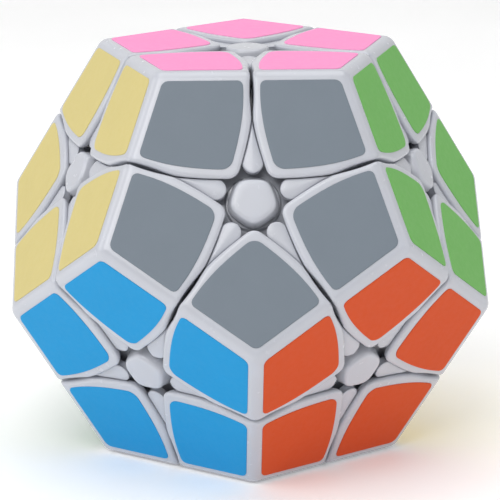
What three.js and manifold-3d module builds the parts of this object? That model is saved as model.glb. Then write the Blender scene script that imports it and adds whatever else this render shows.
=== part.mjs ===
// A dodecahedron puzzle whose twelve faces each turn about their own axis. Twenty corners carry the
// coloured faces, thirty slim edges show between them as sunken white fingers, and twelve capped centres
// are screwed to a twelve-armed core. Millimetres, +Z up, origin in the middle of the face it rests on.
//
// Every cut is a surface of revolution about a face axis, so a layer can turn through any angle. Three
// shells around the puzzle's middle share out the work: the outer shell is what shows, the neck shell
// holds narrow corner necks between wide centre skirts and edge plates, and in the foot shell the corner
// and edge feet reach under those skirts and plates, which keeps them in.
import * as THREE from "three";
import { ConvexGeometry } from "three/addons/geometries/ConvexGeometry.js";
import { mergeVertices } from "three/addons/utils/BufferGeometryUtils.js";
import Module from "manifold-3d";

const wasm = await Module();
wasm.setup();

// Driving dimensions, in millimetres and degrees.
const EDGE_LENGTH = 30; // the dodecahedron's edge
const RIDGE_BEVEL = 0.35; // how far the bevel along each ridge lies below the sharp ridge
const WALL_GAP = 0.35; // clearance between a turning layer and what stays behind, in the inner shells
const FINGER_GAP = 0.25; // clearance between a turning layer and the fingers that it passes
const SHELL_GAP = 0.4; // clearance between one shell and the next
const OUTER_SHELL = 31; // radius between the outer shell and the neck shell
const BLOCK_FLOOR = 32.3; // radius down to which a corner's outer block reaches
const NECK_SHELL = 20.5; // radius between the neck shell and the foot shell
const FOOT_SHELL = 14.8; // radius between the foot shell and the core
const NECK_ANGLE = 47; // half-angle of a layer's cut in the neck shell
const FOOT_ANGLE = 53; // half-angle of a layer's cut in the foot shell
const CUT_TO_CENTRE = 3.55; // from the middle of a face to the cuts of its five neighbours
const CUT_START_SLOPE = 0.2; // how steeply those cuts rise where they pass the middle of the face
const RIDGE_GAP = 0.16; // from the middle of a ridge to the cuts that end there
const NOSE_TO_CENTRE = 5.2; // from the middle of a face to the blunt noses of its corners
const FINGER_SINK = 0.8; // how far the fingers lie below the faces
const FINGER_TO_CENTRE = 4.45; // from the middle of a face to its fingertips
const FINGER_RADIUS = 1.7; // half a finger's width at its round tip, from where its sides run together
const FINGER_END = 13; // from the middle of a face to the outer ends of its fingers
const FINGER_BASE = 31.3; // height of a finger's underside where it reaches over a skirt
const BLADE_BASE = 29;
const RIB = { start: 9.3, end: 11.3, width: 1.6, base: 27, top: 30 }; // the rib below each finger
const CAP_APOTHEM = 3.7; // from the middle of a five-sided cap to its flats
const CAP_SHOULDER = 31.6; // height from which its sides lean in
const CAP_LEAN = 0.4;
const CAP_SINK = 0.1;
const CAP_BEVEL = 0.5;
const CAP_BASE = 29; // the cap's solid starts at this height, inside the skirt
const CORE_RADIUS = 10.5;
const ARM_RADIUS = 2.9;
const ARM_LENGTH = 14.4; // from the puzzle's middle to the end of each core arm
const SCREW_RADIUS = 1.25;
const SCREW_HEAD_RADIUS = 2.8;
const SCREW_HEAD_SEAT = 25.2; // height of the underside of a screw head
const SCREW_HEAD_TOP = 26.9;
const BORE_RADIUS = 1.7; // hole through a centre's stem for its screw
const CUP_RADIUS = 3.3; // pocket in a centre for its spring and screw head
const CUP_FLOOR = 21.3;
const CUP_TOP = 28.2;

const OUTER_SIDES = 30; // facets around a layer's cut in the outer shell
const INNER_SIDES = 20; // facets around its cuts in the inner shells
const BORE_SIDES = 8;
const WELD = 1; // how far pieces of one body run into each other where they join
const REACH = 60; // beyond every surface of the puzzle

const DEGREE = Math.PI / 180;
const GOLDEN = (1 + Math.sqrt(5)) / 2;
const MIDRADIUS = (EDGE_LENGTH * GOLDEN ** 2) / 2;
const INRADIUS = (EDGE_LENGTH * GOLDEN ** 2) / (2 * Math.sqrt(3 - GOLDEN));
const BETWEEN_FACES = Math.atan(2); // angle between the axes of two neighbouring faces
const TO_FAR_RIDGE = Math.asin(INRADIUS / MIDRADIUS); // from a face axis to the ridges that leave the face

// ---- The twelve faces -------------------------------------------------------------------------------

const FACES = { top: new THREE.Vector3(0, 0, 1), bottom: new THREE.Vector3(0, 0, -1) };
const UPPER_RING = ["front", "right", "back_right", "back_left", "left"];
const LOWER_RING = ["low_right", "low_back_right", "low_back", "low_back_left", "low_left"];

// The axis of a face in one of the two rings, turned from the front towards the right.
function ringAxis(turn, side) {
  const flat = Math.sin(BETWEEN_FACES);
  return new THREE.Vector3(
    Math.sin(turn) * flat,
    -Math.cos(turn) * flat,
    side * Math.cos(BETWEEN_FACES),
  );
}
UPPER_RING.forEach((name, i) => (FACES[name] = ringAxis(i * 72 * DEGREE, 1)));
LOWER_RING.forEach((name, i) => (FACES[name] = ringAxis((i * 72 + 36) * DEGREE, -1)));
const FACE_NAMES = ["top", ...UPPER_RING, ...LOWER_RING, "bottom"];

const areNeighbours = (a, b) => Math.abs(FACES[a].angleTo(FACES[b]) - BETWEEN_FACES) < 0.01;
const neighboursOf = (face) => FACE_NAMES.filter((other) => areNeighbours(face, other));

// Each pair of neighbouring faces shares a ridge, and each triple a vertex.
const RIDGES = FACE_NAMES.flatMap((a, i) =>
  FACE_NAMES.slice(i + 1)
    .filter((b) => areNeighbours(a, b))
    .map((b) => [a, b]),
);
const VERTICES = RIDGES.flatMap(([a, b]) =>
  FACE_NAMES.slice(FACE_NAMES.indexOf(b) + 1)
    .filter((c) => areNeighbours(a, c) && areNeighbours(b, c))
    .map((c) => [a, b, c]),
);

// The axis through the middle of a face, of the ridge of two faces, or of the vertex of three.
function axisOf(faces) {
  return faces.reduce((sum, face) => sum.add(FACES[face]), new THREE.Vector3()).normalize();
}

// The point that three planes share, each given as { normal, distance }.
function meet(...planes) {
  const [p, q, r] = planes.map((plane) => plane.normal);
  const rows = new THREE.Matrix3(p.x, p.y, p.z, q.x, q.y, q.z, r.x, r.y, r.z);
  return new THREE.Vector3(...planes.map((plane) => plane.distance)).applyMatrix3(rows.invert());
}

// ---- Solids -----------------------------------------------------------------------------------------

// A closed three.js geometry as a manifold-3d solid.
function solid(geometry) {
  geometry.deleteAttribute("normal");
  geometry.deleteAttribute("uv");
  const merged = mergeVertices(geometry, 1e-5);
  return new wasm.Manifold(
    new wasm.Mesh({
      numProp: 3,
      vertProperties: merged.attributes.position.array,
      triVerts: new Uint32Array(merged.index.array),
    }),
  );
}

// A manifold-3d solid as a three.js geometry.
function geometryOf(body) {
  const mesh = body.getMesh();
  const geometry = new THREE.BufferGeometry();
  geometry.setAttribute("position", new THREE.BufferAttribute(mesh.vertProperties, 3));
  geometry.setIndex(new THREE.BufferAttribute(mesh.triVerts, 1));
  geometry.computeVertexNormals();
  return geometry;
}

const unite = (...bodies) => bodies.reduce((sum, body) => sum.add(body));
const common = (...bodies) => bodies.reduce((sum, body) => sum.intersect(body));
const without = (body, ...others) => others.reduce((sum, other) => sum.subtract(other), body);

// A faceted ball with a vertex on the axis of every face, ridge and vertex of the dodecahedron.
function ballInside(radius) {
  const axes = [...FACE_NAMES.map((face) => [face]), ...RIDGES, ...VERTICES].map(axisOf);
  return solid(new ConvexGeometry(axes.map((axis) => axis.multiplyScalar(radius))));
}

// The faceted ball whose facets touch a sphere of this radius on the same axes.
function ballAround(radius) {
  const plane = (...faces) => ({ normal: axisOf(faces), distance: radius });
  const points = VERTICES.flatMap((faces) =>
    faces.flatMap((face) =>
      faces
        .filter((other) => other !== face)
        .map((other) => meet(plane(face), plane(face, other), plane(...faces))),
    ),
  );
  return solid(new ConvexGeometry(points));
}

// A solid of revolution about a face axis. The profile lists [distance from the axis, height] from the
// bottom up, and one of its facet edges points at a neighbouring face, or is turned from it by a phase.
function revolve(face, profile, sides, phase = 0) {
  const axis = FACES[face];
  const aside = FACES[neighboursOf(face)[0]].clone().projectOnPlane(axis).normalize();
  const turn = new THREE.Matrix4().makeBasis(new THREE.Vector3().crossVectors(axis, aside), axis, aside);
  const points = profile.map(([radius, height]) => new THREE.Vector2(radius, height));
  return solid(new THREE.LatheGeometry(points, sides, phase).applyMatrix4(turn));
}

// The same, with its facets around the profile instead of inside it.
function revolveAround(face, profile, sides) {
  const spread = 1 / Math.cos(Math.PI / sides);
  return revolve(face, profile.map(([radius, height]) => [radius * spread, height]), sides);
}

// The dodecahedron with bevelled ridges: the hull of the points where its planes meet.
function bevelledBody() {
  const side = (face) => ({ normal: axisOf([face]), distance: INRADIUS });
  const bevel = (a, b) => ({ normal: axisOf([a, b]), distance: MIDRADIUS - RIDGE_BEVEL });
  const points = VERTICES.flatMap(([a, b, c]) => [
    meet(bevel(a, b), bevel(b, c), bevel(c, a)),
    meet(side(a), bevel(a, b), bevel(c, a)),
    meet(side(b), bevel(a, b), bevel(b, c)),
    meet(side(c), bevel(b, c), bevel(c, a)),
  ]);
  return solid(new ConvexGeometry(points));
}

// ---- The cuts ---------------------------------------------------------------------------------------

// A point named by its height above a neighbouring face's centre line and its distance from that line
// towards the layer's own face, given as [distance from the layer's axis, height along it].
function besideNeighbour(height, towards) {
  return new THREE.Vector2(
    height * Math.sin(BETWEEN_FACES) - towards * Math.cos(BETWEEN_FACES),
    height * Math.cos(BETWEEN_FACES) + towards * Math.sin(BETWEEN_FACES),
  );
}

// The outer cut rises gently past the neighbours' centres, and then follows a cone from the puzzle's middle
// that ends just short of the far ridges.
const CENTRE_END = besideNeighbour(INRADIUS, CUT_TO_CENTRE);
const START_APEX = CENTRE_END.y - CENTRE_END.x * CUT_START_SLOPE;
const RIDGE_SLOPE = 1 / Math.tan(TO_FAR_RIDGE);
const RIDGE_APEX = RIDGE_GAP * Math.hypot(1, RIDGE_SLOPE);
const BEND_RADIUS = (START_APEX - RIDGE_APEX) / (RIDGE_SLOPE - CUT_START_SLOPE);

// The profile of a face's layer in the outer shell. A positive shift leaves room around the layer.
function outerLayer(shift) {
  const drop = shift * Math.hypot(1, RIDGE_SLOPE);
  return [
    [0, START_APEX - drop],
    [BEND_RADIUS, RIDGE_APEX + BEND_RADIUS * RIDGE_SLOPE - drop],
    [REACH, RIDGE_APEX + REACH * RIDGE_SLOPE - drop],
    [0, RIDGE_APEX + REACH * RIDGE_SLOPE - drop],
  ];
}

// The same in the two inner shells: a cone from the puzzle's middle.
function innerLayer(angle, shift) {
  const slope = 1 / Math.tan(angle * DEGREE);
  const apex = -shift * Math.hypot(1, slope);
  return [
    [0, apex],
    [REACH, apex + REACH * slope],
    [0, apex + REACH * slope],
  ];
}

// "In" bounds the pieces that turn with a face, and "out" the pieces that it turns past.
const outerIn = (face) => revolve(face, outerLayer(0), OUTER_SIDES);
const outerOut = (face) => revolveAround(face, outerLayer(FINGER_GAP), OUTER_SIDES);
const neckIn = (face) => revolve(face, innerLayer(NECK_ANGLE, -WALL_GAP / 2), INNER_SIDES);
const neckOut = (face) => revolveAround(face, innerLayer(NECK_ANGLE, WALL_GAP / 2), INNER_SIDES);
const footIn = (face) => revolve(face, innerLayer(FOOT_ANGLE, -WALL_GAP / 2), INNER_SIDES);
const footOut = (face) => revolveAround(face, innerLayer(FOOT_ANGLE, WALL_GAP / 2), INNER_SIDES);

const blockFloor = ballAround(BLOCK_FLOOR);
const neckTop = ballInside(OUTER_SHELL - SHELL_GAP / 2);
const neckFloor = ballAround(NECK_SHELL + SHELL_GAP / 2);
const footTop = ballInside(NECK_SHELL - SHELL_GAP / 2);
const footFloor = ballAround(FOOT_SHELL + SHELL_GAP / 2);

// ---- The pieces, each made once and then turned into its places ---------------------------------------

// A corner: the outer block with its three blunt noses, a neck, and a foot that spreads below the edges.
function corner(faces) {
  const noseCuts = faces.map((name) => {
    const outward = axisOf(faces).projectOnPlane(FACES[name]).normalize();
    const across = new THREE.Vector3().crossVectors(FACES[name], outward);
    const box = new THREE.BoxGeometry(REACH, REACH, REACH);
    box.translate(NOSE_TO_CENTRE - REACH / 2, 0, REACH / 2);
    return solid(box.applyMatrix4(new THREE.Matrix4().makeBasis(outward, across, FACES[name])));
  });
  const block = without(common(bevelledBody(), ...faces.map(outerIn)), blockFloor, ...noseCuts);
  const neckEnds = [ballAround(BLOCK_FLOOR + WELD), ballInside(NECK_SHELL - WELD)];
  const neck = without(common(neckEnds[0], ...faces.map(neckIn)), neckEnds[1]);
  const foot = without(common(footTop, ...faces.map(footIn)), footFloor);
  return unite(block, neck, foot);
}

// One finger: a bar with a round tip, narrowed by the cuts of the two faces that turn past it, and the rib
// that carries it on the edge's plate.
function finger(face, other, ends) {
  const outward = FACES[other].clone().projectOnPlane(FACES[face]).normalize();
  const across = new THREE.Vector3().crossVectors(FACES[face], outward);
  const turn = new THREE.Matrix4().makeBasis(outward, across, FACES[face]);
  const outline = new THREE.Shape();
  outline.absarc(FINGER_TO_CENTRE + FINGER_RADIUS, 0, FINGER_RADIUS, Math.PI / 2, (3 * Math.PI) / 2);
  outline.lineTo(FINGER_END, -FINGER_RADIUS);
  outline.lineTo(FINGER_END, FINGER_RADIUS);
  const depth = INRADIUS - FINGER_SINK - BLADE_BASE;
  const bar = new THREE.ExtrudeGeometry(outline, { depth, bevelEnabled: false, curveSegments: 4 });
  const room = new THREE.BoxGeometry(REACH, REACH, REACH);
  const rib = new THREE.BoxGeometry(RIB.end - RIB.start, RIB.width, RIB.top - RIB.base);
  bar.translate(0, 0, BLADE_BASE);
  room.translate(RIB.start - REACH / 2, 0, FINGER_BASE - REACH / 2);
  rib.translate((RIB.start + RIB.end) / 2, 0, (RIB.base + RIB.top) / 2);
  const [barSolid, roomSolid, ribSolid] = [bar, room, rib].map((shape) => solid(shape.applyMatrix4(turn)));
  return unite(without(barSolid, roomSolid, ...ends.map(outerOut)), ribSolid);
}

// An edge: two fingers that stand on a plate, and a foot that spreads below the centres' skirts.
function edge([a, b]) {
  const ends = FACE_NAMES.filter((name) => areNeighbours(name, a) && areNeighbours(name, b));
  const necks = common(neckIn(a), neckIn(b));
  const feet = common(footIn(a), footIn(b));
  const plate = without(common(neckTop, necks), neckFloor, ...ends.map(neckOut));
  const webEnds = [ballAround(NECK_SHELL + WELD), ballInside(NECK_SHELL - WELD)];
  const web = without(common(webEnds[0], necks), webEnds[1], ...ends.map(footOut));
  const foot = without(common(footTop, feet), footFloor, ...ends.map(footOut));
  return unite(finger(a, b, ends), finger(b, a, ends), plate, web, foot);
}

// A centre: a five-sided bevelled cap on a skirt, and a stem that stands on the core's arm.
function centre(face) {
  const around = neighboursOf(face);
  const capTop = INRADIUS - CAP_SINK;
  const vertexRadius = (apothem) => apothem / Math.cos(Math.PI / 5);
  const capProfile = [
    [0, CAP_BASE],
    [vertexRadius(CAP_APOTHEM), CAP_BASE],
    [vertexRadius(CAP_APOTHEM), CAP_SHOULDER],
    [vertexRadius(CAP_APOTHEM - CAP_LEAN), capTop - CAP_BEVEL],
    [vertexRadius(CAP_APOTHEM - CAP_LEAN - CAP_BEVEL), capTop],
    [0, capTop],
  ];
  const cap = revolve(face, capProfile, 5, Math.PI / 5);
  const own = revolve(face, innerLayer(NECK_ANGLE, 0), INNER_SIDES);
  const skirt = without(common(neckTop, own), neckFloor, ...around.map(neckOut));
  const stem = without(common(ballAround(NECK_SHELL + WELD), own), footFloor, ...around.map(footOut));
  return unite(cap, skirt, stem);
}

// A centre with the bore for its screw and the pocket for its spring.
function boredCentre(face) {
  const bore = revolve(
    face,
    [
      [0, CORE_RADIUS],
      [BORE_RADIUS, CORE_RADIUS],
      [BORE_RADIUS, CUP_FLOOR],
      [CUP_RADIUS, CUP_FLOOR],
      [CUP_RADIUS, CUP_TOP],
      [0, CUP_TOP],
    ],
    BORE_SIDES,
  );
  return without(centre(face), bore);
}

// One arm of the core with its screw driven in.
function armWithScrew(face) {
  return revolve(
    face,
    [
      [0, 0],
      [ARM_RADIUS, 0],
      [ARM_RADIUS, ARM_LENGTH],
      [SCREW_RADIUS, ARM_LENGTH],
      [SCREW_RADIUS, SCREW_HEAD_SEAT],
      [SCREW_HEAD_RADIUS, SCREW_HEAD_SEAT],
      [SCREW_HEAD_RADIUS, SCREW_HEAD_TOP],
      [0, SCREW_HEAD_TOP],
    ],
    BORE_SIDES,
  );
}

// ---- The assembly -----------------------------------------------------------------------------------

// Three centres, of lower faces at the back, are one body with the core that they are screwed to.
const CENTRES_WITH_CORE = ["low_back_left", "low_back", "low_back_right"];

function core() {
  const arms = FACE_NAMES.filter((face) => !CENTRES_WITH_CORE.includes(face)).map(armWithScrew);
  const fixed = CENTRES_WITH_CORE.flatMap((face) => [centre(face), armWithScrew(face)]);
  return unite(ballInside(CORE_RADIUS), ...arms, ...fixed);
}

const plastic = () => new THREE.MeshStandardMaterial({ color: 0xe9ecf2, roughness: 0.38, metalness: 0 });
const corePlastic = new THREE.MeshStandardMaterial({ color: 0xd9dce2, roughness: 0.5, metalness: 0 });

// The turn that takes the first two faces of one list onto the first two of another.
function turnBetween(from, to) {
  const basis = ([a, b]) =>
    new THREE.Matrix4().makeBasis(FACES[a], FACES[b], new THREE.Vector3().crossVectors(FACES[a], FACES[b]));
  return basis(to).multiply(basis(from).invert());
}

// The three faces of a vertex in the order that goes round it anticlockwise.
function anticlockwise([a, b, c]) {
  const spin = new THREE.Vector3().crossVectors(FACES[a], FACES[b]).dot(FACES[c]);
  return spin > 0 ? [a, b, c] : [a, c, b];
}

const puzzle = new THREE.Group();
puzzle.position.z = INRADIUS;

function place(name, geometry, turn, material) {
  const mesh = new THREE.Mesh(geometry, material);
  mesh.name = name;
  mesh.applyMatrix4(turn);
  puzzle.add(mesh);
}

place("core", geometryOf(core()), new THREE.Matrix4(), corePlastic);

const centreGeometry = geometryOf(boredCentre("top"));
for (const face of FACE_NAMES.filter((name) => !CENTRES_WITH_CORE.includes(name))) {
  const turn = turnBetween(["top", "front"], [face, neighboursOf(face)[0]]);
  place("centre_" + face, centreGeometry, turn, plastic());
}

const edgeGeometry = geometryOf(edge(["top", "front"]));
for (const ridge of RIDGES) {
  place("edge_" + ridge.join("_"), edgeGeometry, turnBetween(["top", "front"], ridge), plastic());
}

const firstCorner = anticlockwise(["top", "front", "right"]);
const cornerGeometry = geometryOf(corner(firstCorner));
for (const faces of VERTICES) {
  const turn = turnBetween(firstCorner, anticlockwise(faces));
  place("corner_" + faces.join("_"), cornerGeometry, turn, plastic());
}

export default puzzle;
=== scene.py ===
"""The dodecahedron puzzle's looks: moulded white pieces with coloured vinyl stickers, on a pale floor.

Every piece is made once, in millimetres about the puzzle's middle, and turned into each of its places.
"""

import math

import bmesh
import bpy
import numpy as np
from mathutils import Matrix, Vector


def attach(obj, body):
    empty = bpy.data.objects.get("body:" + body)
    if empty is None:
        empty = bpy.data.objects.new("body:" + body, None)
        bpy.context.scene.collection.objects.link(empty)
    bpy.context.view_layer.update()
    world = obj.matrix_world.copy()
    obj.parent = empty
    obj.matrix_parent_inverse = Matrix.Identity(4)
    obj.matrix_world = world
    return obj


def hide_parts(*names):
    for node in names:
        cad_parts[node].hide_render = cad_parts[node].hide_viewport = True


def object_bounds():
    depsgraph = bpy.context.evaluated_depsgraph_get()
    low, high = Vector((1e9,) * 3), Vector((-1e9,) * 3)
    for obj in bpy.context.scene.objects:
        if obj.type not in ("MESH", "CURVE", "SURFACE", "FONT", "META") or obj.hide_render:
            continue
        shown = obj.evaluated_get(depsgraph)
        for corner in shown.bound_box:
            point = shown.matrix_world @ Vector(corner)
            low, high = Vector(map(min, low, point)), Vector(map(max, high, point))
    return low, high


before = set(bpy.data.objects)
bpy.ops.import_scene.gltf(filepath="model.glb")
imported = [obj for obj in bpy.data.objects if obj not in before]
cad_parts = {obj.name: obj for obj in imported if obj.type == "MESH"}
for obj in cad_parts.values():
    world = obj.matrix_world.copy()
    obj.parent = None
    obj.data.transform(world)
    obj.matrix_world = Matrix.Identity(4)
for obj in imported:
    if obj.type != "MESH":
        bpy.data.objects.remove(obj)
cad_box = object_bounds()

# ---- Dimensions, in millimetres and degrees ---------------------------------------------------------

MM = 0.001
MIDDLE = (cad_box[0] + cad_box[1]) / 2
INRADIUS = (cad_box[1].z - cad_box[0].z) / 2 / MM
GOLDEN = (1 + math.sqrt(5)) / 2
EDGE_LENGTH = INRADIUS * 2 * math.sqrt(3 - GOLDEN) / GOLDEN**2
MIDRADIUS = EDGE_LENGTH * GOLDEN**2 / 2
BETWEEN_FACES = math.atan(2)
TO_FAR_RIDGE = math.asin(INRADIUS / MIDRADIUS)

WALL_GAP = 0.35  # clearance between a turning layer and what stays behind
CLOSE_GAP = 0.05  # the same beside a finger and under the end of a ridge
CUT_TO_CENTRE = 3.2  # from the middle of a face to the cuts of its neighbours
CUT_START_SLOPE = 0.15  # how steeply those cuts rise where they pass the middle of the face
RIDGE_GAP = 0.08  # from the middle of a ridge to the corners on either side
OUTER_FLOOR, NECK_TOP = 32.3, 30.8  # radii of the shells' floors and tops
NECK_FLOOR, FOOT_TOP, FOOT_FLOOR = 20.7, 20.3, 15.0
NECK_ANGLE, FOOT_ANGLE = 47, 53  # of the cuts in the inner shells, from their axes

STICKER_PROUD = 0.12  # how far a sticker stands above its plastic
STICKER_BORDER = 1.5  # of bare plastic along the ridges
STICKER_TO_CENTRE, STICKER_BOW = 4.84, 4.25e-4  # where its long sides pass the middle, and how they bow
STICKER_MIDDLE = 14.2  # from the middle of the face to about the middle of a sticker
STICKER_ROUND, STICKER_NOSE_ROUND = 0.85, 1.4  # radii of its corners
RIDGE_ROUND, RIM_ROUND, NOSE_ROUND = 0.95, 0.7, 1.4  # radii of a corner's edges

FINGER_SINK = 0.8  # of a finger's top below the face
FINGER_CROWN, FINGER_ROUND = 0.14, 0.25  # fall of its top towards its sides, and the radius of its rim
FINGER_TO_CENTRE, FINGER_END = 4.45, 13.6  # its tip and its far end, from the middle of the face
FINGER_RADIUS = 1.72  # half its width at the tip
FINGER_FALL_START, FINGER_FALL = 10.0, 0.06  # from here on its top curves down towards the plate
FINGER_BASE = 31.3  # height of its underside
RIB_START, RIB_BASE = 9.3, 29.0  # the rib under it, which ends inside the plate

CAP_APOTHEM = 3.84
LIP_RADIUS = 4.2  # of the rim that the cap sits on
SKIRT_TOP = 30.3  # around that rim
CAP_SINK = 0.1  # from the stickers' height down to the cap's top
PLUG_END = 28.3  # of the part of the cap that goes into the cup
CUP_RADIUS, CUP_FLOOR, BORE_RADIUS = 3.3, 21.3, 1.7  # for the screw, its spring and its washer
CORE_RADIUS, ARM_RADIUS, ARM_LENGTH = 10.5, 2.9, 14.4
SCREW_RADIUS, HEAD_RADIUS, HEAD_SEAT, HEAD_TOP = 1.25, 2.8, 25.2, 26.9

STICKER_COLOURS = {  # sRGB
    "top": ("sticker_pink", "ff9ace"),
    "front": ("sticker_grey", "79838d"),
    "right": ("sticker_light_green", "75ba60"),
    "left": ("sticker_cream", "d4c583"),
    "low_left": ("sticker_light_blue", "0a97d4"),
    "low_right": ("sticker_orange", "d74d12"),
    "back_left": ("sticker_red", "c8232c"),
    "back_right": ("sticker_dark_blue", "1f4fa8"),
    "low_back": ("sticker_black", "25272b"),
    "low_back_right": ("sticker_yellow", "f2cf1d"),
    "low_back_left": ("sticker_dark_green", "1f7a3f"),
    "bottom": ("sticker_purple", "6b3a9a"),
}

# ---- Faces, ridges and vertices ---------------------------------------------------------------------

UPPER_RING = ["front", "right", "back_right", "back_left", "left"]
LOWER_RING = ["low_right", "low_back_right", "low_back", "low_back_left", "low_left"]
FACE_NAMES = ["top", *UPPER_RING, *LOWER_RING, "bottom"]


def ring_axis(turn, side):
    flat = math.sin(BETWEEN_FACES)
    return np.array([math.sin(turn) * flat, -math.cos(turn) * flat, side * math.cos(BETWEEN_FACES)])


FACES = {"top": np.array([0.0, 0.0, 1.0]), "bottom": np.array([0.0, 0.0, -1.0])}
FACES.update({f: ring_axis(math.radians(i * 72), 1) for i, f in enumerate(UPPER_RING)})
FACES.update({f: ring_axis(math.radians(i * 72 + 36), -1) for i, f in enumerate(LOWER_RING)})


def unit(v):
    return v / np.linalg.norm(v)


def axis_of(*faces):
    return unit(sum(FACES[f] for f in faces))


def are_neighbours(a, b):
    return abs(FACES[a] @ FACES[b] - math.cos(BETWEEN_FACES)) < 0.01


def neighbours_of(face):
    """The five faces round one, anticlockwise seen from outside."""
    n = FACES[face]
    around = [f for f in FACE_NAMES if are_neighbours(face, f)]
    e1 = unit(FACES[around[0]] - (FACES[around[0]] @ n) * n)
    e2 = np.cross(n, e1)
    return sorted(around, key=lambda f: math.atan2(FACES[f] @ e2, FACES[f] @ e1) % (2 * math.pi - 1e-6))


RIDGES = [
    (a, b) for i, a in enumerate(FACE_NAMES) for b in FACE_NAMES[i + 1 :] if are_neighbours(a, b)
]
VERTICES = [
    (a, b, c)
    for a, b in RIDGES
    for c in FACE_NAMES[FACE_NAMES.index(b) + 1 :]
    if are_neighbours(a, c) and are_neighbours(b, c)
]


def anticlockwise(faces):
    a, b, c = faces
    return (a, b, c) if np.cross(FACES[a], FACES[b]) @ FACES[c] > 0 else (a, c, b)


# ---- Distances: negative inside, in millimetres -----------------------------------------------------


def inner_cut(face, angle):
    """How far a point lies outside a face's cut in an inner shell, a cone that opens outwards."""
    n, slope = FACES[face], 1 / math.tan(math.radians(angle))

    def distance(p):
        height = p @ n
        radius = np.linalg.norm(p - height[..., None] * n, axis=-1)
        return (slope * radius - height) / math.hypot(1, slope)

    return distance


def beside(height, towards):
    """Distance from a neighbouring face's axis, and height along it, of a point in a face's own terms."""
    return (
        height * math.sin(BETWEEN_FACES) - towards * math.cos(BETWEEN_FACES),
        height * math.cos(BETWEEN_FACES) + towards * math.sin(BETWEEN_FACES),
    )


# Where the outer cut of a face starts and ends: distance from its axis, and height along it.
RIDGE_END = (
    MIDRADIUS * math.sin(TO_FAR_RIDGE) - RIDGE_GAP * math.cos(TO_FAR_RIDGE),
    MIDRADIUS * math.cos(TO_FAR_RIDGE) + RIDGE_GAP * math.sin(TO_FAR_RIDGE),
)
CENTRE_END = beside(INRADIUS, CUT_TO_CENTRE)
CUT_SPAN, CUT_RISE = (far - near for far, near in zip(RIDGE_END, CENTRE_END))
CUT_CURVE = (CUT_RISE - CUT_START_SLOPE * CUT_SPAN) / CUT_SPAN**2


def outer_cut(face):
    """The same in the outer shell, where the cut curves up from its neighbours' middles to the far ridges."""
    n = FACES[face]

    def distance(p):
        height = p @ n
        out = np.linalg.norm(p - height[..., None] * n, axis=-1) - CENTRE_END[0]
        past = np.maximum(out, 0)
        rise = CUT_START_SLOPE * out + CUT_CURVE * past**2
        return (CENTRE_END[1] + rise - height) / np.hypot(1, CUT_START_SLOPE + 2 * CUT_CURVE * past)

    return distance


def half_way(a, b, side):
    """How far a point lies past the plane through the middle of a ridge, seen from a face at its end."""
    normal = unit(np.cross(FACES[a], FACES[b]))
    normal = normal if normal @ FACES[side] > 0 else -normal
    return lambda p: RIDGE_GAP - p @ normal


def rounded(radius, *distances):
    """What several solids have in common, with the edges between them rounded."""
    v = np.stack(np.broadcast_arrays(*distances))
    return np.minimum(v.max(0), -radius) + np.sqrt((np.maximum(v + radius, 0) ** 2).sum(0))


def inside_and_past(inside, past, angle, past_angle=None, rounding=0.5):
    """The room within some faces' inner cuts and past the cuts of others."""
    ins = [inner_cut(f, angle) for f in inside]
    outs = [inner_cut(f, past_angle or angle) for f in past]

    def distance(p):
        near = [cut(p) + WALL_GAP / 2 for cut in ins]
        far = [WALL_GAP / 2 - cut(p) for cut in outs]
        return rounded(rounding, *near, *far)

    return distance


def root(f, low, high, steps=44):
    """Where f turns from negative to positive, for arrays of ends."""
    low, high = np.array(low, float), np.array(high, float)
    for _ in range(steps):
        middle = (low + high) / 2
        inside = f(middle) < 0
        low, high = np.where(inside, middle, low), np.where(inside, high, middle)
    return (low + high) / 2


CAST_REACH = 1.6  # how far past its target a ray may leave a body, as a share of the way there


def cast(origin, targets, body):
    """The points where the rays from an inner point through the targets leave the body."""
    rays = targets - origin
    near, far = np.zeros(rays.shape[:-1]), np.full(rays.shape[:-1], CAST_REACH)
    reach = root(lambda s: body(origin + s[..., None] * rays), near, far)
    return origin + reach[..., None] * rays


# ---- Meshes -----------------------------------------------------------------------------------------


class Shell:
    """A closed mesh under construction: rings of points joined by quads."""

    def __init__(self):
        self.points, self.faces = [], []

    def add(self, points):
        start = len(self.points)
        points = np.asarray(points, float).reshape(-1, 3)
        self.points.extend(map(tuple, points))
        return np.arange(start, start + len(points))

    def strip(self, a, b, closed=True):
        n = len(a)
        for i in range(n if closed else n - 1):
            j = (i + 1) % n
            self.faces.append((a[i], a[j], b[j], b[i]))

    def rings(self, rings):
        made = [self.add(r) for r in rings]
        for a, b in zip(made, made[1:]):
            self.strip(a, b)
        return made

    def fan(self, ring, point):
        (tip,) = self.add([point])
        n = len(ring)
        for i in range(n):
            self.faces.append((ring[i], ring[(i + 1) % n], tip))

    def grid(self, points):
        rows = [self.add(row) for row in points]
        for a, b in zip(rows, rows[1:]):
            self.strip(a, b, closed=False)

    def mesh(self, name, smooth_angle=40, weld=2e-3):
        """The Blender mesh, in metres, with outward faces and sharp edges past the angle."""
        mesh = bpy.data.meshes.new(name)
        points = [tuple(c * MM for c in p) for p in self.points]
        mesh.from_pydata(points, [], [tuple(map(int, f)) for f in self.faces])
        bm = bmesh.new()
        bm.from_mesh(mesh)
        bmesh.ops.remove_doubles(bm, verts=bm.verts, dist=weld * MM)
        bmesh.ops.dissolve_degenerate(bm, edges=bm.edges, dist=1e-3 * MM)
        bmesh.ops.recalc_face_normals(bm, faces=bm.faces)
        bm.to_mesh(mesh)
        bm.free()
        finish_shading(mesh, smooth_angle)
        return mesh


def finish_shading(mesh, smooth_angle):
    mesh.polygons.foreach_set("use_smooth", np.ones(len(mesh.polygons), bool))
    mesh.set_sharp_from_angle(angle=math.radians(smooth_angle))


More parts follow.
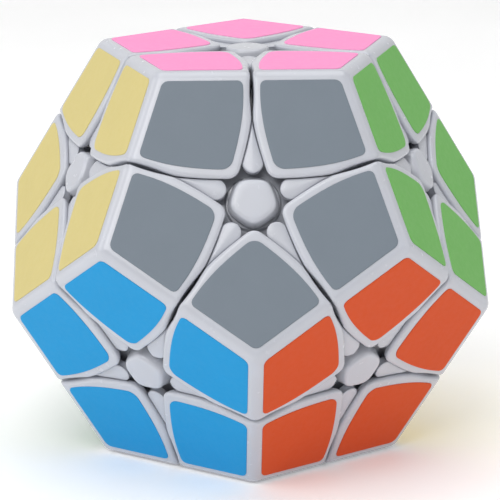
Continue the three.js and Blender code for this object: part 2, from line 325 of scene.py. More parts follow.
def united(name, meshes, smooth_angle=35):
    """One mesh from several closed ones that run into each other."""
    objects = [bpy.data.objects.new(f"{name}_{i}", m) for i, m in enumerate(meshes)]
    for o in objects:
        bpy.context.scene.collection.objects.link(o)
    for other in objects[1:]:
        cut = objects[0].modifiers.new("join", "BOOLEAN")
        cut.operation, cut.object, cut.solver = "UNION", other, "MANIFOLD"
    graph = bpy.context.evaluated_depsgraph_get()
    made = bpy.data.meshes.new_from_object(objects[0].evaluated_get(graph))
    made.name = name
    for o in objects:
        bpy.data.objects.remove(o)
    finish_shading(made, smooth_angle)
    return made


def frame_about(axis, towards):
    """An axis with two directions across it, the first leaning towards a point."""
    e1 = unit(towards - (towards @ axis) * axis)
    return axis, e1, np.cross(axis, e1)


def all_round(count):
    return np.linspace(0, 2 * math.pi, count, endpoint=False)


def directions(about, turns, lean):
    """Unit vectors that lean from an axis by an angle, at each turn round it."""
    axis, e1, e2 = about
    lean = np.broadcast_to(lean, turns.shape)[:, None]
    side = np.cos(turns)[:, None] * e1 + np.sin(turns)[:, None] * e2
    return np.cos(lean) * axis + np.sin(lean) * side


MOST_LEAN = 1.15  # no piece reaches this far from its axis, in radians


def lean_to_edge(about, turns, radius, body):
    """How far a body reaches from the axis on a sphere, at each turn."""
    scan = np.linspace(0.0, MOST_LEAN, 140)
    values = np.stack([body(radius * directions(about, turns, s)) for s in scan])
    first = np.argmax(values > 0, axis=0)
    first = np.where(values.max(0) > 0, first, len(scan) - 1)
    before = scan[np.maximum(first - 1, 0)]
    return root(lambda s: body(radius * directions(about, turns, s)), before, scan[first])


def column(about, turns, body, radii):
    """Rings of a body's side on spheres of these radii."""
    return [r * directions(about, turns, lean_to_edge(about, turns, r, body)) for r in radii]


def spread(about, turns, radius, inner, outer, shares):
    """Rings on one sphere between two leans."""
    return [radius * directions(about, turns, inner + (outer - inner) * s) for s in shares]


# ---- Corner -----------------------------------------------------------------------------------------

INSIDE_CORNER = 37.0  # how far from the middle a point lies that sees all of a corner's outside
NEAR_VERTEX = [0, 0.3, 0.6, 0.9, 1.2, 1.7, 2.6, 3.8, 5.1, 6.4, 7.7, 9.0]
NEAR_END = [10.2, 11.2, 12.0, 12.6, 13.1, 13.55, 13.9, 14.2, 14.45, 14.65, 14.8, 14.92, 15]
SAMPLES = np.array(NEAR_VERTEX + NEAR_END) / 15  # shares of half a ridge, closest where it rounds


def kite_points(face, b, c, samples):
    """A grid over the sharp-edged kite of one face, from the vertex to the nose."""
    vertex = axis_of(face, b, c) * MIDRADIUS / (axis_of(face, b) @ axis_of(face, b, c))
    normal = FACES[face]
    towards = unit(axis_of(face, b, c) - (axis_of(face, b, c) @ normal) * normal)
    s = root(lambda t: -outer_cut(b)(INRADIUS * normal + t[:, None] * towards), [0.0], [10.0])[0]
    nose = INRADIUS * normal + s * towards
    reach = 1 - 2 * RIDGE_GAP / EDGE_LENGTH
    end_b, end_c = (vertex + reach * (axis_of(face, f) * MIDRADIUS - vertex) for f in (b, c))

    def arc(start, near, far):
        chord = nose - start
        across = unit(np.cross(chord, normal))
        across = across if across @ (start - vertex) > 0 else -across
        base = start + samples[:, None] * chord
        cut, plane = outer_cut(far), half_way(face, near, far)

        def wall(t):
            p = base + t[:, None] * across
            return np.maximum(cut(p), plane(p))

        t = root(wall, np.full(len(samples), -1.0), np.full(len(samples), 4.0))
        return base + t[:, None] * across

    low_u, low_v = (vertex + samples[:, None] * (end - vertex) for end in (end_b, end_c))
    high_u, high_v = arc(end_c, c, b), arc(end_b, b, c)
    u, v = samples[:, None, None], samples[None, :, None]
    corners = (1 - u) * (1 - v) * vertex + u * (1 - v) * end_b + (1 - u) * v * end_c + u * v * nose
    return (1 - v) * low_u[:, None] + v * high_u[:, None] + (1 - u) * low_v[None] + u * high_v[None] - corners


def corner_mesh(faces):
    """A corner: three faces with rounded ridges, sides down to the floor of the shell, neck and foot."""
    a, b, c = faces
    axis = axis_of(*faces)
    inner = INSIDE_CORNER * axis
    about = frame_about(axis, FACES[a])
    planes, walls = [FACES[f] for f in faces], [outer_cut(f) for f in faces]
    middles = [half_way(a, b, c), half_way(b, c, a), half_way(c, a, b)]
    passing = [
        outer_cut(f)
        for f in FACE_NAMES
        if f not in faces and sum(are_neighbours(f, g) for g in faces) == 2
    ]

    def sides(p):
        ends = [m(p) for m in middles] + [CLOSE_GAP - cut(p) for cut in passing]
        return np.maximum(rounded(NOSE_ROUND, *[w(p) for w in walls]), np.max(ends, axis=0))

    def block(p):
        top = rounded(RIDGE_ROUND, *[p @ n - (INRADIUS - STICKER_PROUD) for n in planes])
        floor = OUTER_FLOOR - np.linalg.norm(p, axis=-1)
        return rounded(0.25, rounded(RIM_ROUND, top, sides(p)), floor)

    shell = Shell()
    rim = []
    for face, one, two in ((a, b, c), (b, c, a), (c, a, b)):
        targets = kite_points(face, one, two, SAMPLES)
        shell.grid(cast(inner, targets, block))
        rim += [targets[:-1, -1], targets[-1, :0:-1]]
    rim = np.concatenate(rim)
    seam = unit_rows(rim) * OUTER_FLOOR
    for _ in range(30):  # onto the sides and the floor at once
        seam = seam - sides(seam)[:, None] * gradient(sides, seam)
        seam = unit_rows(seam) * OUTER_FLOOR
    turns = np.arctan2(seam @ about[2], seam @ about[1])
    down = [0, 0.03, 0.07, 0.12, 0.2, 0.34, 0.55, 0.8, 0.92, 0.97, 1]
    rings = [cast(inner, rim + t * (seam - rim), block) for t in down]
    lean = np.arccos(np.clip(unit_rows(seam) @ axis, -1, 1))
    neck = inside_and_past(faces, (), NECK_ANGLE, rounding=1.0)
    foot = inside_and_past(faces, (), FOOT_ANGLE, rounding=1.0)
    necks = [lean_to_edge(about, turns, r, neck) for r in (OUTER_FLOOR, FOOT_TOP)]
    feet = [lean_to_edge(about, turns, r, foot) for r in (FOOT_TOP, FOOT_FLOOR)]
    floor = spread(about, turns, OUTER_FLOOR, lean, necks[0], (0.05, 0.12, 0.4, 0.75, 0.93))
    rings += [cast(inner, r, block) for r in floor]
    rings += column(about, turns, neck, (31.0, 30.6, 28, 25, 22.5, 20.9, 20.6))
    rings += spread(about, turns, FOOT_TOP, necks[1], feet[0], (0.12, 0.5, 0.9))
    rings += column(about, turns, foot, (20.0, 18.5, 16.8, 15.3))
    rings += spread(about, turns, FOOT_FLOOR, feet[1], 0 * feet[1], (0.06, 0.35, 0.7))
    made = shell.rings(rings)
    shell.fan(made[-1], FOOT_FLOOR * axis)
    return shell.mesh("corner")


def unit_rows(p):
    return p / np.linalg.norm(p, axis=-1, keepdims=True)


def gradient(f, p, step=1e-4):
    return np.stack([(f(p + step * e) - f(p - step * e)) / (2 * step) for e in np.eye(3)], axis=-1)


# ---- Sticker ----------------------------------------------------------------------------------------


def sticker_mesh(faces):
    """The sticker on the first of a corner's faces, with a softly turned-down rim."""
    face, b, c = faces
    normal = FACES[face]
    outward = unit(axis_of(*faces) - (axis_of(*faces) @ normal) * normal)
    middle = INRADIUS * normal + STICKER_MIDDLE * outward
    across = np.cross(normal, outward)

    def ridge(p, other):
        return (p @ FACES[other] - INRADIUS) / math.sin(BETWEEN_FACES) + STICKER_BORDER

    def arc(p, other):
        towards = p @ unit(FACES[other] - (FACES[other] @ normal) * normal)
        aside = np.sqrt(np.maximum((p * p).sum(-1) - INRADIUS**2 - towards**2, 0))
        edge = STICKER_TO_CENTRE + STICKER_BOW * aside**3
        return (edge - towards) / np.hypot(1, 3 * STICKER_BOW * aside**2)

    def sheet(p):
        ridges = rounded(STICKER_ROUND, ridge(p, b), ridge(p, c))
        return rounded(STICKER_ROUND, ridges, rounded(STICKER_NOSE_ROUND, arc(p, b), arc(p, c)))

    turns = all_round(168)
    rays = np.cos(turns)[:, None] * outward + np.sin(turns)[:, None] * across
    outline = cast(middle, middle + 12 * rays, sheet)
    inward = unit_rows(middle - outline)

    def level(inset, sink):
        return outline + inset * inward - sink * normal

    shell = Shell()
    rings = [middle + (outline - middle) * s for s in (0.2, 0.45, 0.7, 0.88)]
    under = STICKER_PROUD + 0.05  # just into the plastic
    rings += [level(0.12, 0), level(0.04, 0.006), level(0.0, 0.035), level(0.0, under), level(0.5, under)]
    made = shell.rings(rings)
    shell.fan(made[0], middle)
    shell.fan(made[-1], middle - under * normal)
    return shell.mesh("sticker", smooth_angle=50)


# ---- Edge -------------------------------------------------------------------------------------------


def half_room(face, other, distance, height):
    """Half the room between two corners, this far from their face's axis towards their ridge."""
    normal, outward, across = frame_about(FACES[face], FACES[other])
    side = max(FACE_NAMES, key=lambda f: FACES[f] @ across + 0.1 * (FACES[f] @ normal))
    cut, plane = outer_cut(side), half_way(face, other, side)
    base = distance[..., None] * outward + height[..., None] * normal

    def blocked(aside):
        p = base + aside[..., None] * across
        return CLOSE_GAP - np.maximum(cut(p), plane(p))

    return root(blocked, np.zeros(distance.shape), np.full(distance.shape, 8.0))


def finger_mesh(face, other):
    """A finger with a crowned top, and the rib that stands under its outer part."""
    normal, outward, across = frame_about(FACES[face], FACES[other])
    tip = FINGER_TO_CENTRE + FINGER_RADIUS
    ease = (1 - np.cos(np.linspace(0, math.pi / 2, 12))) * FINGER_RADIUS
    stations = np.concatenate([FINGER_TO_CENTRE + ease + 0.004, np.linspace(6.5, FINGER_END, 22)])
    shares = np.sin(np.linspace(-math.pi / 2, math.pi / 2, 25))
    past_tip = np.minimum(stations - tip, 0)
    round_tip = np.sqrt(np.maximum(FINGER_RADIUS**2 - past_tip**2, 0))

    def width(height):
        room = half_room(face, other, np.maximum(stations, 5.0), height)
        return np.maximum(-0.06 * np.log(np.exp(-round_tip / 0.06) + np.exp(-room / 0.06)), 0.02)

    def points(x, y, z):
        return x[..., None] * outward + y[..., None] * across + z[..., None] * normal

    level = INRADIUS - FINGER_SINK - FINGER_FALL * np.maximum(stations - FINGER_FALL_START, 0) ** 2
    half = width(level)
    x = np.repeat(stations[:, None], len(shares), 1)
    y = half[:, None] * shares[None]
    to_rim = np.where(x < tip, FINGER_RADIUS - np.hypot(x - tip, y), half[:, None] - np.abs(y))
    lack = np.clip(FINGER_ROUND - to_rim, 0, FINGER_ROUND)
    drop = FINGER_ROUND - np.sqrt(FINGER_ROUND**2 - lack**2)
    z = level[:, None] - FINGER_CROWN * shares[None] ** 2 - drop
    shell = Shell()
    shell.grid(points(x, y, z))
    n, m = len(stations), len(shares)
    outline = [(i, 0) for i in range(n)] + [(n - 1, j) for j in range(1, m)]
    outline += [(i, m - 1) for i in range(n - 2, -1, -1)] + [(0, j) for j in range(m - 2, 0, -1)]
    rows, cols = np.array(outline).T
    base = np.where(stations < RIB_START, FINGER_BASE, RIB_BASE)
    sides = [points(x[rows, cols], y[rows, cols], z[rows, cols])]
    for share in (0.1, 0.4, 0.7, 1):
        height = level + (base - level) * share
        narrow = np.minimum(half, width(height))
        sides.append(points(stations[rows], narrow[rows] * shares[cols], height[rows]))
    made = shell.rings(sides)
    bottom = {index: made[-1][k] for k, index in enumerate(outline)}
    for i in range(n - 1):
        shell.faces.append((bottom[i, 0], bottom[i + 1, 0], bottom[i + 1, m - 1], bottom[i, m - 1]))
    shell.faces.append(tuple(bottom[n - 1, j] for j in range(m)))
    shell.faces.append(tuple(bottom[0, j] for j in range(m)))
    return shell.mesh("finger", smooth_angle=50)


def edge_mesh(ridge):
    """An edge: a plate under the corners, a web, a foot, and two fingers."""
    a, b = ridge
    ends = [f for f in FACE_NAMES if are_neighbours(f, a) and are_neighbours(f, b)]
    about = frame_about(axis_of(a, b), FACES[a])
    turns = all_round(120)
    plate = inside_and_past((a, b), ends, NECK_ANGLE)
    web = inside_and_past((a, b), ends, NECK_ANGLE, FOOT_ANGLE)
    foot = inside_and_past((a, b), ends, FOOT_ANGLE)
    top, low = (lean_to_edge(about, turns, r, plate) for r in (NECK_TOP, NECK_FLOOR))
    webs = [lean_to_edge(about, turns, r, web) for r in (NECK_FLOOR, FOOT_TOP)]
    feet = [lean_to_edge(about, turns, r, foot) for r in (FOOT_TOP, FOOT_FLOOR)]
    shell = Shell()
    rings = spread(about, turns, NECK_TOP, 0 * top, top, (0.2, 0.45, 0.7, 0.9, 0.97))
    rings += column(about, turns, plate, (30.55, 30, 27, 24, 21.3, 20.9))
    rings += spread(about, turns, NECK_FLOOR, low, webs[0], (0.06, 0.5, 0.95))
    rings += column(about, turns, web, (20.6, 20.4))
    rings += spread(about, turns, FOOT_TOP, webs[1], feet[0], (0.1, 0.5, 0.95))
    rings += column(about, turns, foot, (20.1, 18, 16, 15.2))
    rings += spread(about, turns, FOOT_FLOOR, feet[1], 0 * feet[1], (0.05, 0.4, 0.75))
    made = shell.rings(rings)
    shell.fan(made[0], NECK_TOP * about[0])
    shell.fan(made[-1], FOOT_FLOOR * about[0])
    return united("edge", [shell.mesh("plate"), finger_mesh(a, b), finger_mesh(b, a)])


# ---- Centre and cap ---------------------------------------------------------------------------------


def circle(about, turns, radius, height):
    """A ring about an axis, whose radius may differ from turn to turn."""
    axis, e1, e2 = about
    radius = np.broadcast_to(radius, turns.shape)[:, None]
    height = np.broadcast_to(height, turns.shape)[:, None]
    return height * axis + radius * (np.cos(turns)[:, None] * e1 + np.sin(turns)[:, None] * e2)


def centre_mesh(face):
    """A centre: skirt, stem, the bore for its screw, and the cup that its cap closes."""
    around = neighbours_of(face)
    about = frame_about(FACES[face], FACES[around[0]])
    turns = all_round(120)

    def region(angle):
        own, others = inner_cut(face, NECK_ANGLE), [inner_cut(f, angle) for f in around]
        return lambda p: rounded(0.5, own(p), *[WALL_GAP / 2 - cut(p) for cut in others])

    skirt, stem = region(NECK_ANGLE), region(FOOT_ANGLE)
    top, low = (lean_to_edge(about, turns, r, skirt) for r in (SKIRT_TOP, NECK_FLOOR))
    stems = [lean_to_edge(about, turns, r, stem) for r in (NECK_FLOOR, FOOT_FLOOR)]
    lip = np.full(turns.shape, math.asin(LIP_RADIUS / NECK_TOP))
    mouth = np.full(turns.shape, math.asin((CUP_RADIUS - 0.2) / NECK_TOP))
    bore = np.full(turns.shape, math.asin(BORE_RADIUS / FOOT_FLOOR))
    rings = spread(about, turns, NECK_TOP, mouth, lip, (0, 0.15, 0.85, 1))
    rings += spread(about, turns, SKIRT_TOP, lip + 0.012, top, (0, 0.06, 0.4, 0.75, 0.95))
    rings += column(about, turns, skirt, (SKIRT_TOP - 0.3, 28.5, 27, 24, 21.3, 20.9))
    rings += spread(about, turns, NECK_FLOOR, low, stems[0], (0.06, 0.5, 0.95))
    rings += column(about, turns, stem, (20.5, 18.5, 16.5, 15.2))
    rings += spread(about, turns, FOOT_FLOOR, stems[1], bore, (0.05, 0.5, 1))
    rings += [circle(about, turns, BORE_RADIUS, h) for h in (15.2, 18, CUP_FLOOR - 0.1)]
    rings += [circle(about, turns, r, CUP_FLOOR) for r in (BORE_RADIUS + 0.1, 2.5, CUP_RADIUS - 0.1)]
    rings += [circle(about, turns, CUP_RADIUS, h) for h in (CUP_FLOOR + 0.1, 25, 28.4)]
    rings += [circle(about, turns, CUP_RADIUS - 0.2, 28.5)]
    shell = Shell()
    made = shell.rings(rings)
    shell.strip(made[-1], made[0])
    return shell.mesh("centre")


def pentagon(turns, apothem, softness=5.2):
    """The radius of a five-sided outline with soft corners, at each turn."""
    sides = np.maximum(np.cos(turns[:, None] - np.arange(5) * math.radians(72)), 0)
    return apothem / (sides**softness).sum(1) ** (1 / softness)


def cap_mesh(face):
    """A five-sided cap with a bevelled rim, and the plug that holds it in its cup."""
    about = frame_about(FACES[face], FACES[neighbours_of(face)[0]])
    turns = all_round(120)
    top = INRADIUS - CAP_SINK
    # [apothem, height], from the middle of the top down the side and back under to the plug
    profile = [(0.8, top), (1.8, top), (2.55, top), (2.8, top - 0.01), (2.94, top - 0.04), (3.07, top - 0.11)]
    profile += [(3.19, top - 0.22), (3.29, top - 0.37), (3.37, top - 0.55), (3.42, top - 0.78)]
    profile += [(3.62, top - 1.4), (3.78, top - 1.9), (CAP_APOTHEM, top - 2.1), (3.8, 31.02), (3.2, 30.95)]
    rings = [circle(about, turns, pentagon(turns, a), h) for a, h in profile]
    plug = [(2.95, 30.95), (2.9, 30.8), (2.9, 28.5), (2.7, PLUG_END), (1.4, PLUG_END)]
    rings += [circle(about, turns, r, h) for r, h in plug]
    shell = Shell()
    made = shell.rings(rings)
    shell.fan(made[0], top * about[0])
    shell.fan(made[-1], PLUG_END * about[0])
    return shell.mesh("cap", smooth_angle=60)


# ---- Core, screw, spring and washer -----------------------------------------------------------------


def lathe(face, profile, count=48, twist=None, name="lathe", smooth_angle=40):
    """A turned solid about a face axis. The profile starts and ends on the axis."""
    about = frame_about(FACES[face], FACES[neighbours_of(face)[0]])
    turns = all_round(count)
    rings = []
    for radius, height in profile[1:-1]:
        r, h = (radius, height) if twist is None else twist(turns, radius, height)
        rings.append(circle(about, turns, r, h))
    shell = Shell()
    made = shell.rings(rings)
    shell.fan(made[0], profile[0][1] * about[0])
    shell.fan(made[-1], profile[-1][1] * about[0])
    return shell.mesh(name, smooth_angle)


def core_mesh():
    """The ball with its twelve arms, each a boss with a chamfered mouth round its screw."""
    ball = [(0, CORE_RADIUS)]
    angles = np.linspace(0.08, math.pi - 0.08, 28)
    ball += [(CORE_RADIUS * math.sin(t), CORE_RADIUS * math.cos(t)) for t in angles]
    meshes = [lathe("top", [*ball, (0, -CORE_RADIUS)], 60, name="ball")]
    for face in FACE_NAMES:
        arm = [(0, 4), (2.0, 4), (3.6, 9.2), (3.6, 10.2), (3.2, 10.9), (ARM_RADIUS, 11.4), (ARM_RADIUS, 14.1)]
        arm += [(2.65, ARM_LENGTH), (1.7, ARM_LENGTH), (1.5, 14.1), (1.5, 13.6), (0, 13.6)]
        meshes.append(lathe(face, arm, 36, name="arm"))
    return united("core", meshes)


def screw_mesh(face):
    """A pan-head screw with a cross recess, driven into its arm."""

    def recess(turns, radius, height):
        if height < HEAD_TOP - 0.35:
            if SCREW_RADIUS - 0.3 < radius < SCREW_RADIUS + 0.01 and height < HEAD_SEAT - 1:
                wave = (height / 0.6 - turns / (2 * math.pi)) % 1
                return radius - 0.22 * np.abs(wave - 0.5), height
            return radius, height
        x, y = np.abs(radius * np.cos(turns)), np.abs(radius * np.sin(turns))
        inside = (1 / (1 + np.exp((np.minimum(x, y) - 0.34) * 30))) * (1 / (1 + np.exp((radius - 1.45) * 12)))
        return radius, height - 1.0 * inside

    profile = [(0, 13.7), (0.6, 13.72)]
    profile += [(SCREW_RADIUS, h) for h in np.arange(14.0, HEAD_SEAT - 0.1, 0.12)]
    profile += [(SCREW_RADIUS, HEAD_SEAT - 0.02), (2.6, HEAD_SEAT), (HEAD_RADIUS, HEAD_SEAT + 0.15)]
    profile += [(HEAD_RADIUS, HEAD_SEAT + 0.7), (2.65, HEAD_SEAT + 1.05), (2.35, HEAD_SEAT + 1.3)]
    domed = (1.95, 1.7, 1.5, 1.35, 1.15, 0.95, 0.75, 0.55, 0.4, 0.25, 0.12)
    profile += [(r, HEAD_TOP - 0.035 * r * r) for r in domed]
    profile += [(0, HEAD_TOP - 1.0)]
    return lathe(face, profile, 64, recess, "screw", 35)


def spring_mesh(face):
    """A coil spring between the washer on the cup's floor and the screw's head."""
    axis, e1, e2 = frame_about(FACES[face], FACES[neighbours_of(face)[0]])
    low, high, radius, wire, coils = CUP_FLOOR + 0.75, HEAD_SEAT - 0.28, 2.15, 0.25, 5.0
    t = np.linspace(0, 1, 200)
    angle = 2 * math.pi * coils * t
    height = low + (high - low) * np.clip((t - 0.1) / 0.8, 0, 1)
    out = np.cos(angle)[:, None] * e1 + np.sin(angle)[:, None] * e2
    centre = radius * out + height[:, None] * axis
    around = all_round(12)
    rings = [
        c + wire * (np.cos(around)[:, None] * o + np.sin(around)[:, None] * axis)
        for c, o in zip(centre, out)
    ]
    shell = Shell()
    made = shell.rings(rings)
    shell.fan(made[0], centre[0])
    shell.fan(made[-1], centre[-1])
    return shell.mesh("spring", 60)


def washer_mesh(face):
    """A flat washer with bevelled rims, on the cup's floor."""
    about = frame_about(FACES[face], FACES[neighbours_of(face)[0]])
    turns = all_round(64)
    low, high = CUP_FLOOR + 0.03, CUP_FLOOR + 0.45
    hole, rim, bevel = 1.5, 3.0, 0.08
    profile = [(hole, low + bevel), (hole + bevel, low), (rim - bevel, low), (rim, low + bevel)]
    profile += [(rim, high - bevel), (rim - bevel, high), (hole + bevel, high), (hole, high - bevel)]
    shell = Shell()
    made = shell.rings([circle(about, turns, r, h) for r, h in profile])
    shell.strip(made[-1], made[0])
    return shell.mesh("washer")


# ---- Materials --------------------------------------------------------------------------------------


def linear(code):
    values = [int(code[i : i + 2], 16) / 255 for i in (0, 2, 4)]
    return [c / 12.92 if c <= 0.04045 else ((c + 0.055) / 1.055) ** 2.4 for c in values]


class Nodes:
    """A material's node tree, with short calls for the nodes used here."""

    def __init__(self, name):
        self.material = bpy.data.materials.new(name)
        self.material.use_nodes = True
        self.tree = self.material.node_tree
        self.shader = self.tree.nodes["Principled BSDF"]
        place = self.tree.nodes.new("ShaderNodeTexCoord").outputs["Object"]
        shift = self.tree.nodes.new("ShaderNodeObjectInfo").outputs["Random"]
        offset = self.tree.nodes.new("ShaderNodeVectorMath")
        offset.operation = "MULTIPLY_ADD"
        self.tree.links.new(shift, offset.inputs[0])
        offset.inputs[1].default_value = (0.37, 0.53, 0.71)
        self.tree.links.new(place, offset.inputs[2])
        self.place = offset.outputs[0]

    def noise(self, size_mm, detail=3.0, roughness=0.55):
        node = self.tree.nodes.new("ShaderNodeTexNoise")
        node.inputs["Scale"].default_value = 1 / (size_mm * MM)
        node.inputs["Detail"].default_value = detail
        node.inputs["Roughness"].default_value = roughness
        self.tree.links.new(self.place, node.inputs["Vector"])
        return node.outputs["Fac"]

    def spread(self, value, low, high, start=0.3, end=0.7):
        node = self.tree.nodes.new("ShaderNodeMapRange")
        self.tree.links.new(value, node.inputs["Value"])
        for name, number in (("From Min", start), ("From Max", end), ("To Min", low), ("To Max", high)):
            node.inputs[name].default_value = number
        return node.outputs["Result"]

    def mix(self, share, a, b):
        node = self.tree.nodes.new("ShaderNodeMix")
        node.data_type = "RGBA"
        self.tree.links.new(share, node.inputs["Factor"])
        for socket, colour in ((node.inputs[6], a), (node.inputs[7], b)):
            if isinstance(colour, (list, tuple)):
                socket.default_value = (*colour, 1)
            else:
                self.tree.links.new(colour, socket)
        return node.outputs[2]

    def bump(self, height, strength, distance_mm, under=None):
        node = self.tree.nodes.new("ShaderNodeBump")
        node.inputs["Strength"].default_value = strength
        node.inputs["Distance"].default_value = distance_mm * MM
        self.tree.links.new(height, node.inputs["Height"])
        if under is not None:
            self.tree.links.new(under, node.inputs["Normal"])
        return node.outputs["Normal"]

    def set(self, **sockets):
        for name, value in sockets.items():
            socket = self.shader.inputs[name.replace("_", " ")]
            if isinstance(value, bpy.types.NodeSocket):
                self.tree.links.new(value, socket)
            else:
                socket.default_value = value
        return self.material


def moulded_plastic(name, code, rough=(0.2, 0.28), tint=0.965):
    """Polished moulded plastic: a faint drift of colour, uneven gloss and two soft wavinesses."""
    n = Nodes(name)
    base = linear(code)
    warm = [base[0] * tint * 1.01, base[1] * tint, base[2] * tint * 0.985]
    colour = n.mix(n.spread(n.noise(7.0), 0, 1), base, warm)
    rough_noise = n.spread(n.noise(1.3, 4), rough[0], rough[1])
    wave = n.bump(n.noise(4.5, 0), 0.03, 0.05)
    normal = n.bump(n.noise(0.9, 0), 0.02, 0.01, wave)
    coat = {"Coat_Weight": 0.35, "Coat_Roughness": 0.14}
    return n.set(Base_Color=colour, Roughness=rough_noise, Normal=normal, **coat)


def vinyl(name, code):
    """Matt vinyl with a fine grain, a soft waviness and a slight drift of tone."""
    n = Nodes(name)
    base = linear(code)
    dark = [c * 0.975 for c in base]
    colour = n.mix(n.spread(n.noise(5.5, 4), 0, 1), base, dark)
    speck = n.spread(n.noise(0.12, 2), 0, 0.05, 0.35, 0.7)
    grained = n.mix(speck, colour, [min(1, c * 1.25 + 0.02) for c in base])
    rough = n.spread(n.noise(0.9, 3), 0.5, 0.62)
    normal = n.bump(n.noise(0.14, 1), 0.1, 0.012, n.bump(n.noise(4.5, 0), 0.03, 0.04))
    return n.set(Base_Color=grained, Roughness=rough, Specular_IOR_Level=0.3, Normal=normal)


def steel(name, code, rough):
    """Zinc-plated steel with a fine turned grain."""
    n = Nodes(name)
    base = linear(code)
    colour = n.mix(n.spread(n.noise(0.7, 4), 0, 1), base, [c * 0.72 for c in base])
    roughness = n.spread(n.noise(0.3, 3), rough, rough + 0.18)
    grain = n.bump(n.noise(0.12), 0.2, 0.01)
    return n.set(Base_Color=colour, Roughness=roughness, Metallic=1.0, Normal=grain)


WHITE = moulded_plastic("white_plastic", "c5c8d1")
INNER = moulded_plastic("core_plastic", "b9bab9", (0.4, 0.52))
SCREW_STEEL = steel("screw_steel", "b9bcc2", 0.22)
SPRING_STEEL = steel("spring_steel", "a5a7ac", 0.28)
VINYLS = {face: vinyl(slot, code) for face, (slot, code) in STICKER_COLOURS.items()}

# ---- The assembly -----------------------------------------------------------------------------------

TURNING = {"front": "front_layer", "back_right": "back_right_layer", "bottom": "bottom_layer"}
ROOT = "core_and_still_layers"
CENTRES_WITH_CORE = ("low_back_left", "low_back", "low_back_right")


def body_of(faces):
    return next((body for face, body in TURNING.items() if face in faces), ROOT)


def turn_between(first, second):
    """The turn that takes two faces onto two others."""

    def basis(pair):
        a, b = FACES[pair[0]], FACES[pair[1]]
        return np.stack([a, b, np.cross(a, b)], axis=1)

    turn = basis(second) @ np.linalg.inv(basis(first))
    return Matrix.Translation(MIDDLE) @ Matrix([list(map(float, row)) for row in turn]).to_4x4()


def place(name, mesh, turn, faces, slot, material, *nodes):
    """Puts a copy of a shape in its place, on the body of the layer that its faces belong to."""
    own = mesh.copy()  # turned in its own mesh, so that the piece's box lies along the world's axes
    own.name = name
    own.transform(turn.to_3x3().to_4x4())
    own.materials.clear()
    own.materials.append(material)
    piece = bpy.data.objects.new(name, own)
    bpy.context.scene.collection.objects.link(piece)
    piece.matrix_world = Matrix.Translation(turn.translation)
    if nodes:
        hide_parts(*nodes)
    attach(piece, body_of(faces))
    return piece


FIRST = anticlockwise(("top", "front", "right"))
corner_shape, sticker_shape = corner_mesh(FIRST), sticker_mesh(FIRST)
for faces in VERTICES:
    node = "_".join(faces)
    ordered = anticlockwise(faces)
    turn = turn_between(FIRST[:2], ordered[:2])
    place("block_" + node, corner_shape, turn, faces, "white_plastic", WHITE, "corner_" + node)
    for i, face in enumerate(ordered):
        one, two = ordered[(i + 1) % 3], ordered[(i + 2) % 3]
        turn = turn_between(FIRST[:2], (face, one))
        slot = STICKER_COLOURS[face][0]
        place(f"sticker_{face}_by_{one}_{two}", sticker_shape, turn, faces, slot, VINYLS[face])

edge_shape = edge_mesh(("top", "front"))
for ridge in RIDGES:
    turn = turn_between(("top", "front"), ridge)
    node = "_".join(ridge)
    place("slat_" + node, edge_shape, turn, ridge, "white_plastic", WHITE, "edge_" + node)

shapes = {
    "skirt": (centre_mesh("top"), "white_plastic", WHITE),
    "cap": (cap_mesh("top"), "white_plastic", WHITE),
    "screw": (screw_mesh("top"), "steel", SCREW_STEEL),
    "spring": (spring_mesh("top"), "steel", SPRING_STEEL),
    "washer": (washer_mesh("top"), "steel", SCREW_STEEL),
}
for face in FACE_NAMES:
    turn = turn_between(("top", neighbours_of("top")[0]), (face, neighbours_of(face)[0]))
    for kind, (shape, slot, material) in shapes.items():
        nodes = [] if kind in ("spring", "washer") else ["core"] if kind == "screw" else ["centre_" + face]
        if kind in ("skirt", "cap") and face in CENTRES_WITH_CORE:
            nodes = ["core"]
        riding = (face,) if kind in ("skirt", "cap") else ()
        place(f"{kind}_{face}", shape, turn, riding, slot, material, *nodes)
still = Matrix.Translation(MIDDLE)
place("hub", core_mesh(), still, (), "core_plastic", INNER, "core")

# ---- Floor, light and camera ------------------------------------------------------------------------

FLOOR_HEIGHT = -0.05  # just under the stickers that the puzzle stands on

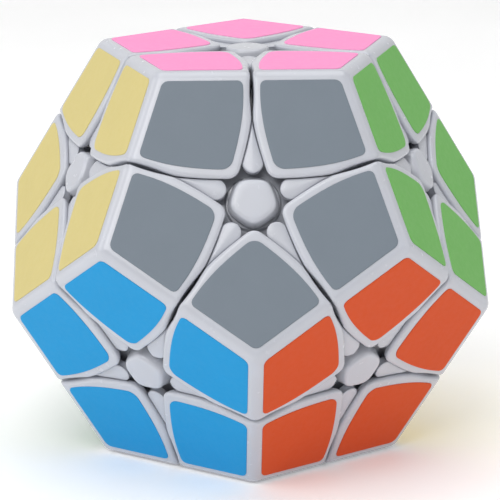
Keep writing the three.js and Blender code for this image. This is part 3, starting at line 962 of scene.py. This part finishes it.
floor_shell = Shell()
sweep = [(y, FLOOR_HEIGHT) for y in (-3000, -500, 0, 500)]
sweep += [(700 + 500 * math.sin(t), 500 - 500 * math.cos(t)) for t in np.linspace(0, math.pi / 2, 14)]
sweep += [(1200, 1800)]
floor_shell.grid([[(x, y, z) for x in (-3000, -800, 0, 800, 3000)] for y, z in sweep])
backdrop = bpy.data.objects.new("backdrop", floor_shell.mesh("backdrop", 80))
bpy.context.scene.collection.objects.link(backdrop)
paper = Nodes("paper")
paper_colour = paper.mix(paper.spread(paper.noise(60), 0, 1), linear("fdfdfd"), linear("f9f9f9"))
paper.set(Base_Color=paper_colour, Roughness=0.9)
backdrop.data.materials.append(paper.set(Emission_Color=(1, 1, 1, 1), Emission_Strength=0.16))


def area_light(name, place_m, size, watts):
    light = bpy.data.lights.new(name, "AREA")
    light.shape, light.size, light.energy = "DISK", size, watts
    lamp = bpy.data.objects.new(name, light)
    lamp.location = Vector(place_m)
    lamp.rotation_euler = (MIDDLE - lamp.location).to_track_quat("-Z", "Y").to_euler()
    bpy.context.scene.collection.objects.link(lamp)


area_light("key", (-0.25, -0.64, 0.72), 0.6, 3.5)
area_light("overhead", (0.0, 0.05, 0.95), 0.9, 4.0)
area_light("left", (-0.8, -0.15, 0.45), 0.7, 2.2)
area_light("right", (0.8, -0.3, 0.35), 0.7, 1.2)

world = bpy.data.worlds.new("studio")
world.use_nodes = True
world.node_tree.nodes["Background"].inputs["Color"].default_value = (1, 1, 1, 1)
world.node_tree.nodes["Background"].inputs["Strength"].default_value = 0.2
bpy.context.scene.world = world
bpy.context.scene.view_settings.view_transform = "Standard"

CAMERA_PLACE = np.array([-0.4375, -16.0224, 4.2796])  # from the puzzle's middle, in edge lengths
CAMERA_FORWARD = unit(np.array([0.026835, 0.965184, -0.260191]))
CAMERA_UPWARDS = np.array([0.011418, 0.259971, 0.965549])
FOCAL_PIXELS = 2996.91  # for a picture 500 across
right = unit(np.cross(CAMERA_FORWARD, CAMERA_UPWARDS))
up = np.cross(right, CAMERA_FORWARD)
camera_data = bpy.data.cameras.new("camera")
camera_data.sensor_width = 36
camera_data.lens = FOCAL_PIXELS * 36 / 500
camera_data.clip_start, camera_data.clip_end = 0.05, 20
camera = bpy.data.objects.new("camera", camera_data)
turn = Matrix([[float(x) for x in row] for row in np.stack([right, up, -CAMERA_FORWARD], axis=1)]).to_4x4()
camera.matrix_world = Matrix.Translation(MIDDLE + Vector(CAMERA_PLACE * EDGE_LENGTH * MM)) @ turn
bpy.context.scene.collection.objects.link(camera)
bpy.context.scene.camera = camera
